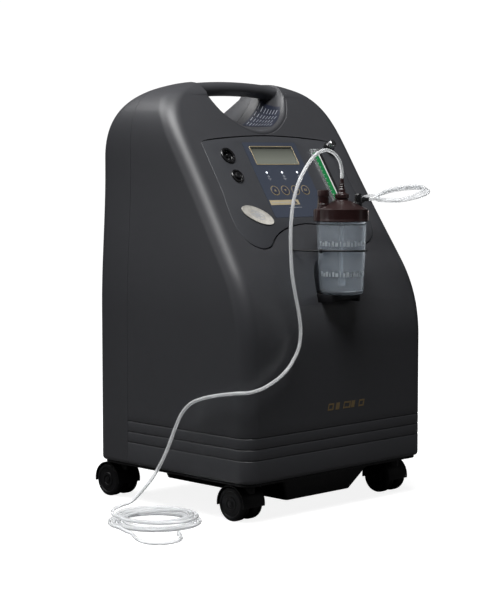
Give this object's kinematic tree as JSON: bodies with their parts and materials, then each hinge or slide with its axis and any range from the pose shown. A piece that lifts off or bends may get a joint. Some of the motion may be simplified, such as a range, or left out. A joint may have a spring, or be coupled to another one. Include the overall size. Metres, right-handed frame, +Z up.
{
  "type": "oxygen concentrator",
  "caption": "Free-standing oxygen concentrator on twin-wheel casters, with a leaning control panel, a front humidifier bottle and a coiled cannula tube.",
  "frame": {"origin": "on the floor, midway across the cabinet and midway between the lid of the humidifier bottle and the back of the rear caster hoods", "axes": "+X to the right for someone facing the front, +Y towards the back, +Z up"},
  "size_m": [0.665, 0.4698, 0.759],
  "materials": {
    "cabinet_plastic": "satin moulded plastic with a fine spark grain",
    "black_plastic": "satin",
    "tread": "matte",
    "membrane": "semi-gloss film",
    "display_glass": "gloss",
    "lamp": "gloss",
    "key_plastic": "satin",
    "badge": "gloss",
    "clear_plastic": "gloss, clear",
    "frosted_plastic": "frosted, translucent",
    "lid_plastic": "semi-gloss",
    "white_plastic": "satin",
    "plated_metal": "satin plated",
    "cast_metal": "as cast",
    "foam": "open-cell foam",
    "circuit_board": "satin"
  },
  "bodies": {
    "cabinet": {"base_pan": "black_plastic", "bottle_shelf": "black_plastic", "bottle_strap": "black_plastic", "breaker_collar": "black_plastic", "cannula_coil": "clear_plastic", "cannula_connector": "clear_plastic", "cannula_tail": "clear_plastic", "cannula_tube": "clear_plastic", "compressor": "cast_metal", "connecting_tube": "clear_plastic", "control_bezel": "cabinet_plastic", "control_board": "circuit_board", "fan_frame": "black_plastic", "flow_meter_block": "clear_plastic", "front_shell": "cabinet_plastic", "intake_muffler": "black_plastic", "lcd_window": "display_glass", "nebulizer_port": "black_plastic", "oval_badge": "badge", "oxygen_outlet": "plated_metal", "panel_overlay": "membrane", "power_inlet": "black_plastic", "product_tank": "white_plastic", "pump_mount_1": "foam", "pump_mount_2": "foam", "pump_mount_3": "foam", "pump_mount_4": "foam", "rear_shell": "cabinet_plastic", "sieve_bed_left": "cast_metal", "sieve_bed_right": "cast_metal", "status_lamp_1": "lamp", "status_lamp_2": "lamp", "status_lamp_3": "lamp", "valve_manifold": "cast_metal"},
    "caster_front_left": {"caster_front_left": "black_plastic"},
    "wheel_front_left_a": {"wheel_front_left_a": "tread"},
    "wheel_front_left_b": {"wheel_front_left_b": "tread"},
    "caster_front_right": {"caster_front_right": "black_plastic"},
    "wheel_front_right_a": {"wheel_front_right_a": "tread"},
    "wheel_front_right_b": {"wheel_front_right_b": "tread"},
    "caster_rear_left": {"caster_rear_left": "black_plastic"},
    "wheel_rear_left_a": {"wheel_rear_left_a": "tread"},
    "wheel_rear_left_b": {"wheel_rear_left_b": "tread"},
    "caster_rear_right": {"caster_rear_right": "black_plastic"},
    "wheel_rear_right_a": {"wheel_rear_right_a": "tread"},
    "wheel_rear_right_b": {"wheel_rear_right_b": "tread"},
    "key_1": {"key_1": "key_plastic"},
    "key_2": {"key_2": "key_plastic"},
    "key_3": {"key_3": "key_plastic"},
    "key_4": {"key_4": "key_plastic"},
    "breaker_button": {"breaker_button": "black_plastic"},
    "flow_knob": {"flow_knob": "black_plastic"},
    "flow_float": {"flow_float": "plated_metal"},
    "bottle_lid": {"humidifier_lid": "lid_plastic", "lid_elbow": "lid_plastic", "dip_tube": "white_plastic"},
    "bottle_jar": {"humidifier_jar": "frosted_plastic"},
    "filter_door": {"filter_door": "cabinet_plastic", "foam_filter": "foam"},
    "fan_rotor": {"fan_rotor": "black_plastic"}
  },
  "joints": [
    {"name": "swivel_front_left", "type": "hinge", "parent": "cabinet", "child": "caster_front_left", "pos_m": [-0.188, -0.146, 0.06], "axis": [0, 0, 1], "continuous": true},
    {"name": "roll_front_left_a", "type": "hinge", "parent": "caster_front_left", "child": "wheel_front_left_a", "pos_m": [-0.2031, -0.126, 0.03], "axis": [1, 0, 0], "continuous": true},
    {"name": "roll_front_left_b", "type": "hinge", "parent": "caster_front_left", "child": "wheel_front_left_b", "pos_m": [-0.1729, -0.126, 0.03], "axis": [1, 0, 0], "continuous": true},
    {"name": "swivel_front_right", "type": "hinge", "parent": "cabinet", "child": "caster_front_right", "pos_m": [0.188, -0.146, 0.06], "axis": [0, 0, 1], "continuous": true},
    {"name": "roll_front_right_a", "type": "hinge", "parent": "caster_front_right", "child": "wheel_front_right_a", "pos_m": [0.1729, -0.126, 0.03], "axis": [1, 0, 0], "continuous": true},
    {"name": "roll_front_right_b", "type": "hinge", "parent": "caster_front_right", "child": "wheel_front_right_b", "pos_m": [0.2031, -0.126, 0.03], "axis": [1, 0, 0], "continuous": true},
    {"name": "swivel_rear_left", "type": "hinge", "parent": "cabinet", "child": "caster_rear_left", "pos_m": [-0.188, 0.179, 0.06], "axis": [0, 0, 1], "continuous": true},
    {"name": "roll_rear_left_a", "type": "hinge", "parent": "caster_rear_left", "child": "wheel_rear_left_a", "pos_m": [-0.2031, 0.199, 0.03], "axis": [1, 0, 0], "continuous": true},
    {"name": "roll_rear_left_b", "type": "hinge", "parent": "caster_rear_left", "child": "wheel_rear_left_b", "pos_m": [-0.1729, 0.199, 0.03], "axis": [1, 0, 0], "continuous": true},
    {"name": "swivel_rear_right", "type": "hinge", "parent": "cabinet", "child": "caster_rear_right", "pos_m": [0.188, 0.179, 0.06], "axis": [0, 0, 1], "continuous": true},
    {"name": "roll_rear_right_a", "type": "hinge", "parent": "caster_rear_right", "child": "wheel_rear_right_a", "pos_m": [0.1729, 0.199, 0.03], "axis": [1, 0, 0], "continuous": true},
    {"name": "roll_rear_right_b", "type": "hinge", "parent": "caster_rear_right", "child": "wheel_rear_right_b", "pos_m": [0.2031, 0.199, 0.03], "axis": [1, 0, 0], "continuous": true},
    {"name": "press_key_1", "type": "slide", "parent": "cabinet", "child": "key_1", "axis": [0, 0.8384, -0.545], "range_m": [0, 0.0008], "stiffness_N_per_m": 600},
    {"name": "press_key_2", "type": "slide", "parent": "cabinet", "child": "key_2", "axis": [0, 0.8384, -0.545], "range_m": [0, 0.0008], "stiffness_N_per_m": 600},
    {"name": "press_key_3", "type": "slide", "parent": "cabinet", "child": "key_3", "axis": [0, 0.8384, -0.545], "range_m": [0, 0.0008], "stiffness_N_per_m": 600},
    {"name": "press_key_4", "type": "slide", "parent": "cabinet", "child": "key_4", "axis": [0, 0.8384, -0.545], "range_m": [0, 0.0008], "stiffness_N_per_m": 600},
    {"name": "press_breaker", "type": "slide", "parent": "cabinet", "child": "breaker_button", "axis": [0, 0.8384, -0.545], "range_m": [0, 0.003], "stiffness_N_per_m": 900},
    {"name": "turn_flow_knob", "type": "hinge", "parent": "cabinet", "child": "flow_knob", "pos_m": [0.15, -0.01204, 0.63714], "axis": [0, -0.8384, 0.545], "range_deg": [0, 330]},
    {"name": "float_rise", "type": "slide", "parent": "cabinet", "child": "flow_float", "axis": [0, 0.545, 0.8384], "range_m": [0, 0.09]},
    {"name": "lift_bottle", "type": "slide", "parent": "cabinet", "child": "bottle_lid", "axis": [0, 0, 1], "range_m": [0, 0.085], "deforming": ["cannula_tube", "connecting_tube"]},
    {"name": "unscrew_jar", "type": "hinge", "parent": "bottle_lid", "child": "bottle_jar", "pos_m": [0, -0.186, 0.45], "axis": [0, 0, 1], "range_deg": [0, 270]},
    {"name": "open_filter_door", "type": "hinge", "parent": "cabinet", "child": "filter_door", "pos_m": [0, 0.21, 0.4013], "axis": [-1, 0, 0], "range_deg": [0, 100]},
    {"name": "fan_spin", "type": "hinge", "parent": "cabinet", "child": "fan_rotor", "pos_m": [0, -0.016, 0.254], "axis": [0, 0, 1], "continuous": true}
  ]
}
